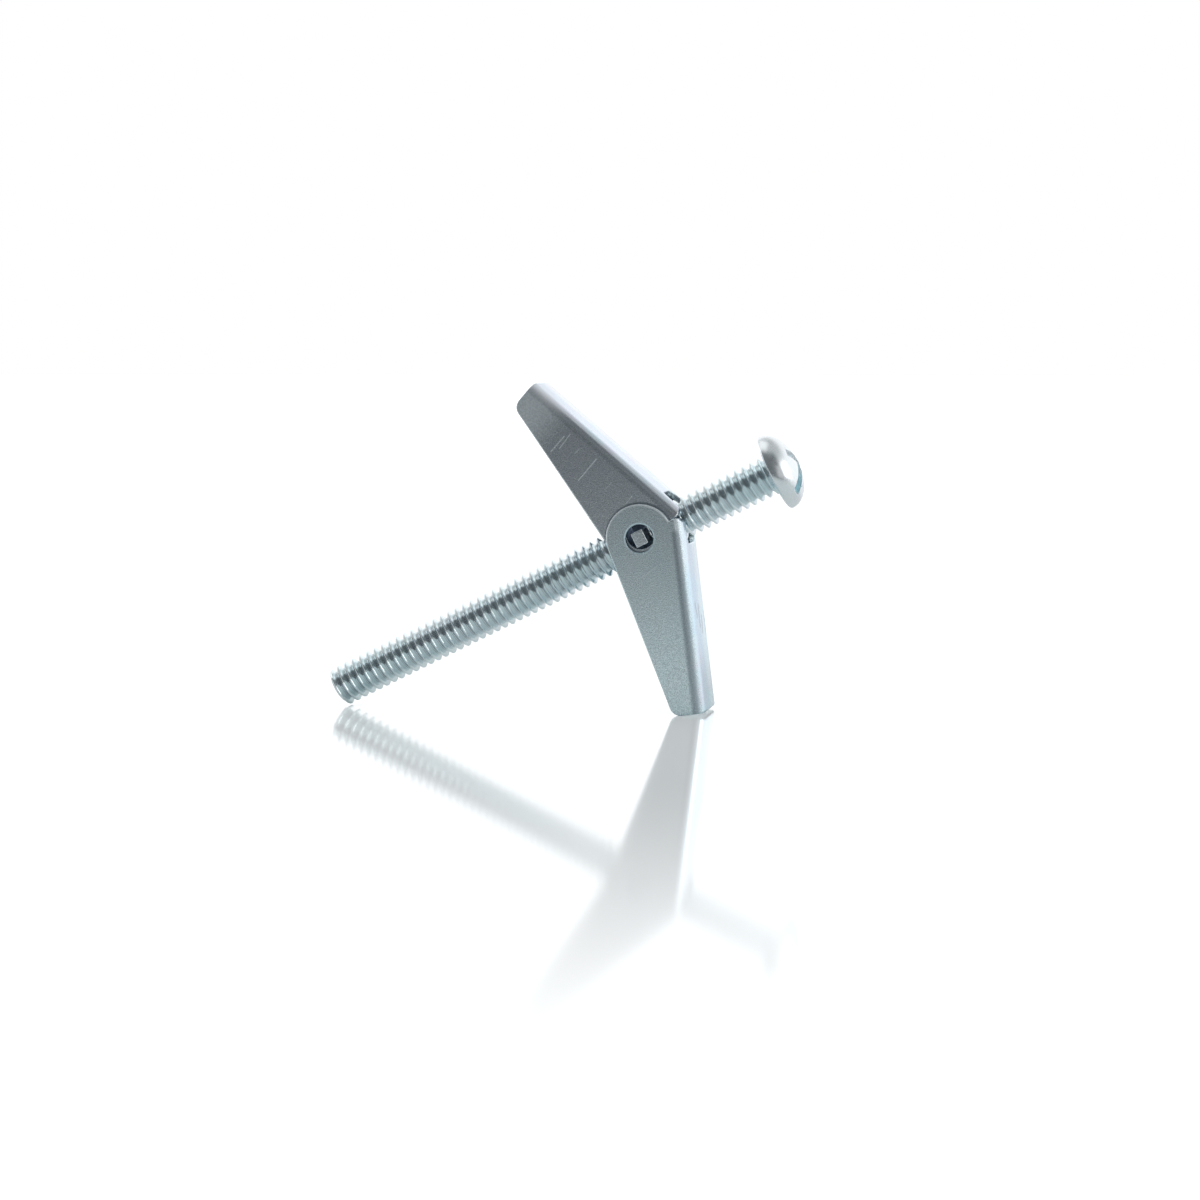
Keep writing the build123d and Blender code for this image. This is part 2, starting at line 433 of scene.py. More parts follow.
def settle(piece):
    """Puts the mesh that a piece's modifiers make in their place, and returns it."""
    bpy.context.view_layer.update()
    made = bpy.data.meshes.new_from_object(piece.evaluated_get(bpy.context.evaluated_depsgraph_get()))
    piece.modifiers.clear()
    piece.data = made
    print(piece.name, len(made.vertices), "vertices")
    return made


def shape(piece, cuts, edge, material, segments=2):
    """Applies (operation, tool) cuts and a bevel, and brings the piece to metres."""
    tools = [tool for _, tool in cuts]
    for operation, tool in cuts:
        cut = piece.modifiers.new(operation, "BOOLEAN")
        cut.operation = operation
        cut.solver = "EXACT"
        cut.object = tool
    bevel = piece.modifiers.new("edge", "BEVEL")
    bevel.width = edge
    bevel.segments = segments
    bevel.limit_method = "ANGLE"
    bevel.angle_limit = EDGE_ANGLE
    bevel.use_clamp_overlap = False
    piece.modifiers.new("flats", "WEIGHTED_NORMAL").keep_sharp = True
    for solid in [piece] + tools:
        for polygon in solid.data.polygons:
            polygon.use_smooth = True
    made = settle(piece)
    for tool in tools:
        bpy.data.objects.remove(tool)
    made.transform(Matrix.Scale(MM, 4))
    made.materials.clear()
    made.materials.append(material)
    return piece


# %% [markdown]
# ## The screw's thread
# A rolled thread is one ridge wound round the shank. Geometry Nodes draw it from a flat grid:
# one side of the grid goes round the screw, the other along it, and each row climbs one pitch
# in a turn, so the rows lie along the ridge and its edges stay crisp. Rows that would pass the
# ends are held there and merge. The tip has its small chamfer, and the ridge dies away under
# the head. The sizes are inputs of the tree.

# %% Thread tree
CREST_END = 1 / 16
ROOT_START = 7 / 16
RIDGE_START = 7 / 16
ROLLED_SHARE = 0.25
DEPTH_AT_HEAD = 0.35
MERGE_DISTANCE = 0.002


def geometry_tree(name, inputs):
    """A Geometry Nodes tree with named inputs; returns it, its inputs and its output socket."""
    tree = bpy.data.node_groups.new(name, "GeometryNodeTree")
    tree.interface.new_socket("Geometry", in_out="OUTPUT", socket_type="NodeSocketGeometry")
    for label, kind in inputs:
        tree.interface.new_socket(label, in_out="INPUT", socket_type="NodeSocket" + kind)
    ends = tree.nodes.new("NodeGroupInput").outputs, tree.nodes.new("NodeGroupOutput").inputs
    return tree, ends[0], ends[1]["Geometry"]


def coat(tree, mesh, material, geometry):
    """Ends a tree: its mesh becomes plain geometry with a material."""
    real = add_node(tree, "GeometryNodeRealizeInstances", {"Geometry": mesh})
    coated = add_node(tree, "GeometryNodeSetMaterial", {"Geometry": real.outputs[0], "Material": material})
    tree.links.new(coated.outputs[0], geometry)


thread_tree, size, geometry = geometry_tree(
    "rolled_thread",
    [
        ("Length", "Float"),
        ("Radius", "Float"),
        ("Pitch", "Float"),
        ("Depth", "Float"),
        ("Chamfer", "Float"),
        ("Run out", "Float"),
        ("Sides", "Int"),
        ("Rows", "Int"),
        ("Rows per pitch", "Int"),
        ("Material", "Material"),
    ],
)
t = thread_tree
grid = add_node(
    t,
    "GeometryNodeMeshGrid",
    {
        "Size X": 1.0,
        "Size Y": 1.0,
        "Vertices X": calc(t, "ADD", size["Sides"], 1.0),
        "Vertices Y": calc(t, "ADD", size["Rows"], 3.0),
    },
)
corner = add_node(t, "ShaderNodeSeparateXYZ", {0: t.nodes.new("GeometryNodeInputPosition").outputs[0]})
turn = calc(t, "ADD", corner.outputs["X"], 0.5)
row_share = calc(t, "ADD", corner.outputs["Y"], 0.5)
row = calc(t, "ROUND", calc(t, "MULTIPLY", row_share, calc(t, "ADD", size["Rows"], 2.0)))
row = calc(t, "SUBTRACT", row, 1.0)
above_foot = calc(t, "GREATER_THAN", row, -0.5)
below_top = calc(t, "LESS_THAN", row, calc(t, "ADD", size["Rows"], 0.5))
on_wall = calc(t, "MULTIPLY", above_foot, below_top)
climb = calc(t, "SUBTRACT", calc(t, "DIVIDE", row, size["Rows per pitch"]), 1.0)
climb = calc(t, "ADD", climb, turn)
height = calc(t, "MAXIMUM", calc(t, "MULTIPLY", climb, size["Pitch"]), 0.0)
height = calc(t, "MINIMUM", height, size["Length"])
phase = calc(t, "SUBTRACT", calc(t, "DIVIDE", height, size["Pitch"]), turn)
phase = calc(t, "FRACT", calc(t, "ADD", phase, RIDGE_START))
from_crest = calc(t, "ABSOLUTE", calc(t, "SUBTRACT", phase, 0.5))
flank = add_node(
    t, "ShaderNodeMapRange", {"Value": from_crest, "From Min": CREST_END, "From Max": ROOT_START}
).outputs[0]
rolled = calc(t, "MULTIPLY", remap(t, from_crest, 0.0, 0.5), ROLLED_SHARE)
groove = calc(t, "ADD", calc(t, "MULTIPLY", flank, 1 - ROLLED_SHARE), rolled)
fade_start = calc(t, "SUBTRACT", size["Length"], size["Run out"])
fade = remap(t, height, fade_start, size["Length"], 1.0, DEPTH_AT_HEAD)
depth = calc(t, "MULTIPLY", calc(t, "MULTIPLY", groove, fade), size["Depth"])
wall = calc(t, "SUBTRACT", size["Radius"], depth)
cone = calc(t, "ADD", calc(t, "SUBTRACT", size["Radius"], size["Chamfer"]), height)
radius = calc(t, "MULTIPLY", calc(t, "MINIMUM", wall, cone), on_wall)
angle = calc(t, "MULTIPLY", turn, 2 * pi)
ridge = add_node(
    t,
    "ShaderNodeCombineXYZ",
    {
        "X": calc(t, "MULTIPLY", radius, calc(t, "COSINE", angle)),
        "Y": calc(t, "MULTIPLY", radius, calc(t, "SINE", angle)),
        "Z": height,
    },
).outputs[0]
wound = add_node(t, "GeometryNodeSetPosition", {"Geometry": grid.outputs["Mesh"], "Position": ridge})
merged = add_node(
    t, "GeometryNodeMergeByDistance", {"Geometry": wound.outputs[0], "Distance": MERGE_DISTANCE}
)
coat(t, merged.outputs[0], size["Material"], geometry)
print("tree:", t.name, len(t.nodes), "nodes")

# %% [markdown]
# The pitch is that of a common quarter-inch machine thread, with 20 turns to the inch. The
# bottom of the groove gets a painted shade: the screw's material has a thin dark mark there,
# found by its distance from the axis.

# %% Screw shank
THREAD_R = 3.05
THREAD_PITCH = 1.27
THREAD_DEPTH = 0.80
SCREW_LENGTH = 73.7
TIP_CHAMFER = 0.4
RUN_OUT = 1.1
INTO_HEAD = 0.3
THREAD_SIDES = 56
ROWS_PER_PITCH = 12
THREAD_SHARP = radians(32)
ROOT_SHADE = (0.02, 0.13)


def grow(name, tree, sizes, place, sharp):
    """Runs a tree with these sizes, and returns its mesh in metres as a plain object."""
    piece = bpy.data.objects.new(name, bpy.data.meshes.new(name))
    bpy.context.scene.collection.objects.link(piece)
    modifier = piece.modifiers.new(tree.name, "NODES")
    modifier.node_group = tree
    for item in tree.interface.items_tree:
        if item.in_out == "INPUT":
            modifier[item.identifier] = sizes[item.name]
    made = settle(piece)
    made.transform(Matrix.Scale(MM, 4) @ place)
    made.shade_smooth()
    made.set_sharp_from_angle(angle=sharp)
    return piece


def root_shade_mask(tree, place):
    """Painted shade at the bottom of the groove, by its distance from the screw's axis."""
    offset = vector_calc(tree, "SUBTRACT", place, tip)
    reach = length(tree, vector_calc(tree, "CROSS_PRODUCT", offset, ALONG))
    root = THREAD_R - THREAD_DEPTH
    return remap(tree, reach, root + ROOT_SHADE[0], root + ROOT_SHADE[1], 1.0, 0.0)


screw_zinc = zinc(
    "screw_zinc",
    rgb(0.82, 0.89, 0.90),
    per_mm=2.4,
    bump=0.02,
    rough=(0.14, 0.20),
    tint=0.12,
    # A painted shade along the bottom of the groove.
    marks=[Mark(root_shade_mask, PAINTED_SHADE_AND_RUB, rough=0.25, strength=0.24)],
)
screw_place = frame_matrix(tip, ACROSS, ALONG.cross(ACROSS), ALONG)
shank_length = SCREW_LENGTH + INTO_HEAD
shank = grow(
    "screw_shank",
    thread_tree,
    {
        "Length": shank_length,
        "Radius": THREAD_R,
        "Pitch": THREAD_PITCH,
        "Depth": THREAD_DEPTH,
        "Chamfer": TIP_CHAMFER,
        "Run out": RUN_OUT + INTO_HEAD,
        "Sides": THREAD_SIDES,
        "Rows": (ceil(shank_length / THREAD_PITCH) + 1) * ROWS_PER_PITCH,
        "Rows per pitch": ROWS_PER_PITCH,
        "Material": screw_zinc,
    },
    screw_place,
    THREAD_SHARP,
)
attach(shank, "screw")
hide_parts("machine_screw")

# %% [markdown]
# ## The screw's head
# The head is turned: a flat seat, a short rim and a dome. Its profile is spun round the
# screw's axis, then a straight slot and a tapered cross are cut into the crown, as on a screw
# that takes either driver. The walls of the recess are painted pale as a painted highlight and
# made dull, and its lower half is painted a darker blue-green shade.

# %% Head with slot and cross
HEAD_R = 5.8
HEAD_RIM = 0.4
HEAD_DOME = 3.6
SEAT_CHAMFER = 0.25
SLOT_WIDTH = 1.5
SLOT_DEPTH = 1.9
SLOT_TURN = radians(38)
CROSS_SPAN = 6.6
CROSS_ARM = 1.4
CROSS_DEPTH = 2.9
CROSS_TAPER = radians(9)
CROSS_PROUD = 0.02
HEAD_EDGE = 0.07
OVERRUN = 1.0
DOME_STEPS = 28
HEAD_SIDES = 96
WELD_DISTANCE = 0.001
RECESS_SKIN = (0.86, 0.94)
RECESS_FOOT = (0.5, 0.7)
RECESS_MIDDLE = (-0.3, 0.5)
PALE_HIGHLIGHT = rgb(0.97, 0.99, 1.0)
BLUE_GREEN_SHADE = rgb(0.70, 0.92, 0.97)

profile = [(0, 0), (HEAD_R - SEAT_CHAMFER, 0), (HEAD_R, SEAT_CHAMFER)]
for step in range(DOME_STEPS):
    rise = pi / 2 * step / DOME_STEPS
    profile.append((HEAD_R * cos(rise), HEAD_RIM + HEAD_DOME * sin(rise)))
profile.append((0, HEAD_RIM + HEAD_DOME))
bm = bmesh.new()
outline = [bm.verts.new((r, 0, z)) for r, z in profile]
for first, second in zip(outline, outline[1:]):
    bm.edges.new((first, second))
bmesh.ops.spin(
    bm, geom=bm.verts[:] + bm.edges[:], axis=(0, 0, 1), cent=(0, 0, 0), angle=2 * pi, steps=HEAD_SIDES
)
bmesh.ops.remove_doubles(bm, verts=bm.verts[:], dist=WELD_DISTANCE)
bmesh.ops.recalc_face_normals(bm, faces=bm.faces[:])
head_place = frame_matrix(tip + ALONG * SCREW_LENGTH, ACROSS, ALONG.cross(ACROSS), ALONG)
head = solid_from("screw_head", bm, head_place)


def recess_mask(tree, place):
    """Everything that lies under the dome's own surface: the walls of the slot and the cross."""
    offset = vector_calc(tree, "SUBTRACT", place, head_place.translation)
    rise = dot(tree, offset, ALONG)
    high = calc(tree, "DIVIDE", calc(tree, "SUBTRACT", rise, HEAD_RIM), HEAD_DOME)
    wide = calc(tree, "DIVIDE", length(tree, vector_calc(tree, "CROSS_PRODUCT", offset, ALONG)), HEAD_R)
    dome = calc(tree, "ADD", calc(tree, "MULTIPLY", high, high), calc(tree, "MULTIPLY", wide, wide))
    under = remap(tree, dome, *RECESS_SKIN, 1.0, 0.0)
    return calc(tree, "MULTIPLY", under, remap(tree, rise, *RECESS_FOOT))


def low_recess_mask(tree, place):
    """The part of the recess below the screw's axis."""
    offset = vector_calc(tree, "SUBTRACT", place, head_place.translation)
    low = remap(tree, dot(tree, offset, ACROSS), *RECESS_MIDDLE, 1.0, 0.0)
    return calc(tree, "MULTIPLY", recess_mask(tree, place), low)


head_zinc = zinc(
    "head_zinc",
    rgb(0.86, 0.89, 0.90),
    per_mm=0.9,
    bump=0.03,
    rough=(0.22, 0.30),
    tint=0.10,
    marks=[
        # The recess walls are painted pale as a painted highlight and made dull.
        Mark(recess_mask, PALE_HIGHLIGHT, rough=0.95, strength=1.0),
        # The lower half of the recess is painted a darker blue-green shade.
        Mark(low_recess_mask, BLUE_GREEN_SHADE, rough=0.5, strength=0.9),
    ],
)
slot_run = ACROSS * -cos(SLOT_TURN) - PIVOT_AXIS * sin(SLOT_TURN)
crown = tip + ALONG * (SCREW_LENGTH + HEAD_RIM + HEAD_DOME)
crown_place = frame_matrix(crown, slot_run, ALONG.cross(slot_run), ALONG)
slot_half, slot_side = HEAD_R + OVERRUN / 2, SLOT_WIDTH / 2
slot = [(-slot_half, -slot_side), (slot_half, -slot_side), (slot_half, slot_side), (-slot_half, slot_side)]
cross_half, cross_side = CROSS_SPAN / 2, CROSS_ARM / 2
cross = [(cross_half, cross_side), (cross_side, cross_side), (cross_side, cross_half)]
cross += [(-x, y) for x, y in cross[::-1]]
cross += [(-x, -y) for x, y in cross]
cross_inset = CROSS_DEPTH * tan(CROSS_TAPER)
slot_cut = prism("slot_cut", slot, -SLOT_DEPTH, OVERRUN, crown_place)
cross_cut = prism("cross_cut", cross, -CROSS_DEPTH, CROSS_PROUD, crown_place, inset=cross_inset)
shape(head, [("DIFFERENCE", slot_cut), ("DIFFERENCE", cross_cut)], HEAD_EDGE, head_zinc)
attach(head, "screw")
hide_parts("machine_screw")

# %% [markdown]
# ## The wings
# Each wing is one sheet stamping: two tapered flanges with round ears, joined by a web. Bent
# sheet is the overlap of two simple prisms, the folded section run along the spine and the
# side outline run across it. The pivot holes and the notch for the screw are cut out of that.
# The upper wing is the same stamping turned half round the screw, so one function makes both.
# A face attribute that follows each face's direction tells the material what is flange and
# what is web.

# %% Folded wing
WING_LENGTH = 26.5
EAR_R = 5.0
WEB = 6.6
SHEET = 0.85
BEND_R = 1.8
TAPER = radians(14.9)
TIP_CORNER = 1.6
SPINE_CORNER = 0.45
SHOULDER_CORNER = 1.1
HOLE_R = 2.05
NOTCH_CLEARANCE = 0.6
NOTCH_CORNER = 1.4
FLANGE_GAP = 0.15
STOP_GAP = 0.05
OPEN_ANGLE = radians(111.4)
ROCK_ANGLE = radians(1.8)
INNER_FLANGE_Y = 4.849
SHEET_EDGE = 0.2
EDGE_SEGMENTS = 3
EAR_STEPS = 40
CORNER_STEPS = 8
BEND_STEPS = 10
HOLE_SIDES = 56
FLANGE_FROM = 0.5

upper_lift = UPPER_PIVOT.z - PIVOT.z
outer_flange_y = INNER_FLANGE_Y + SHEET + FLANGE_GAP
near_y = outer_flange_y + SHEET
far_y = INNER_FLANGE_Y + SHEET
lower_spine = LEAN - OPEN_ANGLE + ROCK_ANGLE
upper_spine = LEAN + OPEN_ANGLE + ROCK_ANGLE


def side_view(turn):
    """Unit direction in the side view, from +X towards +Z."""
    return Vector((cos(turn), 0, sin(turn)))


def make_wing(name, pivot, spine, near, material):
    """A folded wing; spine is its direction to the tip, near the side of its outer flange."""
    up = near.cross(spine)
    stop = (STOP_GAP - upper_lift * cos(LEAN + ROCK_ANGLE)) / 2
    stop_u = (stop + WEB * cos(OPEN_ANGLE)) / sin(OPEN_ANGLE)
    ear_start = OPEN_ANGLE - asin(stop / EAR_R)
    ear_end = TAPER + 3 / 2 * pi
    outline = rounded(
        [
            (WING_LENGTH, (WING_LENGTH * sin(TAPER) - EAR_R) / cos(TAPER), TIP_CORNER),
            (WING_LENGTH, WEB, SPINE_CORNER),
            (stop_u, WEB, SHOULDER_CORNER),
        ]
        + [(x, y, 0) for x, y in arc(0, 0, EAR_R, ear_start, ear_end, EAR_STEPS)],
        steps=CORNER_STEPS,
    )
    hem = -EAR_R - OVERRUN
    section = rounded(
        [
            (-near_y, hem, 0),
            (-near_y, WEB, BEND_R),
            (far_y, WEB, BEND_R),
            (far_y, hem, 0),
            (INNER_FLANGE_Y, hem, 0),
            (INNER_FLANGE_Y, WEB - SHEET, BEND_R - SHEET),
            (-outer_flange_y, WEB - SHEET, BEND_R - SHEET),
            (-outer_flange_y, hem, 0),
        ],
        steps=BEND_STEPS,
    )
    notch_half = THREAD_R + NOTCH_CLEARANCE
    notch_end = (notch_half + (WEB - SHEET) * cos(OPEN_ANGLE)) / sin(OPEN_ANGLE)
    notch = rounded(
        [
            (stop_u - OVERRUN, -notch_half, 0),
            (notch_end, -notch_half, NOTCH_CORNER),
            (notch_end, notch_half, NOTCH_CORNER),
            (stop_u - OVERRUN, notch_half, 0),
        ],
        steps=CORNER_STEPS,
    )
    side_place = frame_matrix(pivot, spine, up, near)
    width = (-far_y - OVERRUN, near_y + OVERRUN)
    wing = prism(name, section, -2 * EAR_R, WING_LENGTH + OVERRUN, frame_matrix(pivot, -near, up, spine))
    sides = prism("sides", outline, *width, side_place)
    hole = prism("hole", circle(HOLE_R, HOLE_SIDES), *width, side_place)
    gap = prism("gap", notch, WEB - SHEET - OVERRUN, WEB + OVERRUN, frame_matrix(pivot, spine, -near, up))
    cuts = [("INTERSECT", sides), ("DIFFERENCE", hole), ("DIFFERENCE", gap)]
    shape(wing, cuts, SHEET_EDGE, material, EDGE_SEGMENTS)
    flange = wing.data.attributes.new(FLANGE, "FLOAT", "FACE")
    for polygon, value in zip(wing.data.polygons, flange.data):
        value.value = max(0.0, (abs(polygon.normal.y) - FLANGE_FROM) / (1 - FLANGE_FROM))
    return wing


print("wing:", WING_LENGTH, "mm past the pivot,", round(near_y + far_y, 2), "mm across")

# %% [markdown]
# The two wings differ in their wear and in the light and shade painted on them. The photograph
# shows hairline scratches on both near flanges, a rubbed tip on the upper one, four rub marks on
# the lower web, a blue shade along both webs, bright rims on the near ear and its hole, and the
# ear's shadow on the flange behind it. Here the blue shade is a painted shade, the bright rims are
# painted highlights and the shadow is a painted shadow; painted shade also darkens the lower fold
# and both pivot holes.
# Places on a near face are (x, z), and places on a web are along the spine and across it.

# %% Marks on the wings
# A painted blue shade for the webs, just past the bend.
BLUE_WEB_SHADE = rgb(0.50, 0.62, 0.80)
HOLE_RIM_HIGHLIGHT = rgb(0.80, 0.95, 1.0)
LOWER_FACE = -near_y
UPPER_FACE = -far_y
HOLE_SKIN = 0.02
FOLD_SHADE_OFFSET = 0.6
FOLD_SHADE_WIDTH = 0.9
WEB_SHADE_OFFSET = 2.0
WEB_SHADE_WIDTH = 4.5
SCRATCH_WIDTH = 0.11
WEB_MARK_WIDTH = 0.8
RIM_OFFSET = 0.12
EAR_HIGHLIGHT_WIDTH = 0.20
HOLE_HIGHLIGHT_WIDTH = 0.22
HALF_RIM_FADE = 0.8
SHADOW_OFFSET = 0.1
SHADOW_WIDTH = 0.35
EAR_TURN = radians(18)
SCUFF_WIDTH = 9.0
SCUFF = ((-7.2, 44.6), (-4.4, 47.6))
UPPER_SCRATCHES = (
    ((-0.9, 38.5), (1.1, 40.8), 0.9),
    ((0.4, 39.0), (2.0, 41.1), 0.8),
    ((2.7, 38.3), (3.4, 39.0), 0.6),
    ((3.2, 34.3), (5.9, 37.5), 1.0),
    ((7.2, 33.0), (8.1, 34.0), 0.4),
    ((10.2, 30.9), (11.2, 32.1), 0.5),
)
LOWER_SCRATCHES = (
    ((12.8, 20.2), (14.9, 21.7), 0.5),
    ((14.0, 18.6), (14.9, 19.6), 0.3),
)
LOWER_WEB_MARKS = (
    ((10.7, -3.6), (12.3, -3.0), 0.35),
    ((11.2, -0.9), (13.9, -1.1), 0.4),
    ((12.9, 1.1), (14.9, 0.5), 0.35),
    ((12.8, 4.0), (15.3, 3.7), 0.3),
)


def face_line(face, start, end, width):
    """A line on a wing's near face."""
    return line_mask((start[0], face, start[1]), (end[0], face, end[1]), width)


def spine_line(pivot, spine, near, rise, y, width):
    """A line along a wing's whole spine, at a rise above the pivot and a place across the wing."""
    start = pivot + near.cross(spine) * rise + PIVOT_AXIS * (y - pivot.y)
    return line_mask(start, start + spine * WING_LENGTH, width)


def web_line(pivot, spine, near, start, end, width):
    """A line on a wing's web."""
    web = pivot + near.cross(spine) * WEB
    ends = [web + spine * u + PIVOT_AXIS * y for u, y in (start, end)]
    return line_mask(*ends, width)


def rim_mask(pivot, radius, width, middle=None):
    """A ring round the pivot axis, or only its half that points along a direction."""

    def make(tree, place):
        offset = vector_calc(tree, "MULTIPLY", vector_calc(tree, "SUBTRACT", place, pivot), SIDE_PLANE)
        reach = calc(tree, "ABSOLUTE", calc(tree, "SUBTRACT", length(tree, offset), radius))
        ring = remap(tree, reach, width * MARK_CORE, width, 1.0, 0.0)
        if middle is None:
            return ring
        half = remap(tree, dot(tree, offset, middle), 0.0, HALF_RIM_FADE)
        return calc(tree, "MULTIPLY", ring, half)

    return make


def wear_and_shade(wing, face, scratches):
    """The marks that both wings have: painted shade in the hole, a painted blue shade along the web and
    bright hairline scratches.
    """
    # Painted shade inside the pivot hole.
    hole = pocket_mask(wing[0], HOLE_R - HOLE_SKIN, 2 * EAR_R)
    # A painted blue shade along the web, beside the bend.
    web_shade = spine_line(*wing, WEB, face + BEND_R + WEB_SHADE_OFFSET, WEB_SHADE_WIDTH)
    lines = [(face_line(face, start, end, SCRATCH_WIDTH), strength) for start, end, strength in scratches]
    return (
        Mark(hole, PAINTED_POCKET_SHADE, rough=0.4, strength=0.92),
        Mark(web_shade, BLUE_WEB_SHADE, rough=0.2, strength=0.50),
        [Mark(line, BARE_AND_HIGHLIGHT, rough=0.5, strength=strength) for line, strength in lines],
    )


lower_place = (PIVOT, side_view(lower_spine), -PIVOT_AXIS)
upper_place = (UPPER_PIVOT, side_view(upper_spine), PIVOT_AXIS)
ear_middle = side_view(lower_spine + pi + EAR_TURN)

hole, web_shade, hairlines = wear_and_shade(lower_place, LOWER_FACE, LOWER_SCRATCHES)
# A painted shade along the lower wing's fold.
fold_shade = spine_line(*lower_place, WEB - BEND_R + FOLD_SHADE_OFFSET, LOWER_FACE, FOLD_SHADE_WIDTH)
# A painted highlight on the rim of the near ear.
ear_rim_highlight = rim_mask(PIVOT, EAR_R - RIM_OFFSET, EAR_HIGHLIGHT_WIDTH, ear_middle)
# A painted highlight on the rim of the near pivot hole.
hole_rim_highlight = rim_mask(PIVOT, HOLE_R + RIM_OFFSET, HOLE_HIGHLIGHT_WIDTH)
lower_marks = [hole, Mark(fold_shade, PAINTED_SHADE_AND_RUB, rough=0.35, strength=0.45), web_shade]
for start, end, strength in LOWER_WEB_MARKS:
    rub = web_line(*lower_place, start, end, WEB_MARK_WIDTH)
    lower_marks.append(Mark(rub, PAINTED_SHADE_AND_RUB, rough=0.4, strength=strength))
lower_marks += hairlines
lower_marks.append(Mark(ear_rim_highlight, BARE_AND_HIGHLIGHT, rough=0.6, strength=0.9))
lower_marks.append(Mark(hole_rim_highlight, HOLE_RIM_HIGHLIGHT, rough=0.55, strength=0.85))

hole, web_shade, hairlines = wear_and_shade(upper_place, UPPER_FACE, UPPER_SCRATCHES)
scuff = face_line(UPPER_FACE, *SCUFF, SCUFF_WIDTH)
shadow = rim_mask(PIVOT, EAR_R + SHADOW_OFFSET, SHADOW_WIDTH, ear_middle)
upper_marks = [hole, web_shade, Mark(scuff, BARE_AND_HIGHLIGHT, rough=0.75, strength=0.48)]
upper_marks += hairlines
upper_marks.append(Mark(shadow, PAINTED_SHADE_AND_RUB, rough=0.4, strength=0.6))
print("marks:", len(lower_marks), "on the lower wing,", len(upper_marks), "on the upper")

# %% Wing materials and pieces
wing_look = {"per_mm": 5.2, "bump": 0.18, "rough": (0.18, 0.30), "tint": 0.10, "web_tint": 0.50}
lower_zinc = zinc("lower_wing_zinc", rgb(0.82, 0.92, 0.94), speck=0.15, marks=lower_marks, **wing_look)
upper_zinc = zinc("upper_wing_zinc", rgb(0.84, 0.88, 0.90), speck=0.40, marks=upper_marks, **wing_look)
lower_wing = make_wing("wing_lower", *lower_place, lower_zinc)
upper_wing = make_wing("wing_upper", *upper_place, upper_zinc)
for wing, body in ((lower_wing, "lower_wing"), (upper_wing, "upper_wing")):
    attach(wing, body)
    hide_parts(body)

# %% [markdown]
# ## The trunnion nut
# The nut is punched from strip: a block with two square-edged tabs that the wings hang on, and
# a collar drawn out towards the screw's tip to give the tapped hole more turns. The outline is
# raised into a prism, the collar is joined to it and the bore is cut through both. Its sides
# lie in the shade between the ears, and that shade is painted into their colour; only the tabs'
# ends are left bright.

# %% Nut with tabs and collar
STRIP = 1.85
STRIP_WIDTH = 8.8
STRIP_CORNER = 0.8
TAB_WIDTH = 2.25
TAB_STAND_OUT = 0.15
TAB_CORNER = 0.15
TAB_ROOT = 0.25
COLLAR_WALL = 0.6
COLLAR_LENGTH = 2.6
BORE_CLEARANCE = 0.05
ROUND_SIDES = 64
NUT_EDGE = 0.14
SHADE_R = 3.4
UNSHADED_END = 0.25

bore_r = THREAD_R + BORE_CLEARANCE
collar_r = bore_r + COLLAR_WALL
tab_end = near_y + TAB_STAND_OUT
half_strip, half_tab = STRIP_WIDTH / 2, TAB_WIDTH / 2
quarter = [
    (tab_end, half_tab, TAB_CORNER),
    (collar_r, half_tab, TAB_ROOT),
    (collar_r, half_strip, STRIP_CORNER),
]
mirrored = [(-x, y, r) for x, y, r in quarter[::-1]]
strip = rounded(quarter + mirrored + [(-x, -y, r) for x, y, r in quarter + mirrored])
nut_place = frame_matrix(PIVOT, PIVOT_AXIS, ALONG.cross(PIVOT_AXIS), ALONG)
# Painted shade on the nut between the ears; the tabs' ends are left unshaded.
nut_shade = pocket_mask(PIVOT, SHADE_R, tab_end - UNSHADED_END)
nut_zinc = zinc(
    "nut_zinc",
    rgb(0.82, 0.86, 0.88),
    per_mm=3.0,
    bump=0.5,
    rough=(0.22, 0.34),
    tint=0.10,
    speck=0.25,
    marks=[Mark(nut_shade, PAINTED_POCKET_SHADE, rough=0.4, strength=0.88)],
)
collar_end = -STRIP / 2 - COLLAR_LENGTH
bore_end = -STRIP - COLLAR_LENGTH - OVERRUN
nut = prism("trunnion", strip, -STRIP / 2, STRIP / 2, nut_place)
collar = prism("collar", circle(collar_r, ROUND_SIDES), collar_end, -STRIP / 4, nut_place)
bore = prism("bore", circle(bore_r, ROUND_SIDES), bore_end, STRIP + OVERRUN, nut_place)
shape(nut, [("UNION", collar), ("DIFFERENCE", bore)], NUT_EDGE, nut_zinc)
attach(nut, "nut")
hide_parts("trunnion_nut")

# %% [markdown]
# ## The torsion spring
# One turn of wire sits on the far tab, and a straight leg presses under each web. A tree
# draws half of it: a line of points that runs straight down the leg and then winds round the
# tab, swept by a small circle. Each half is laid out from its own wing's spine, so the legs
# stay under the webs.

# %% Spring tree
WIRE_SIDES = 20

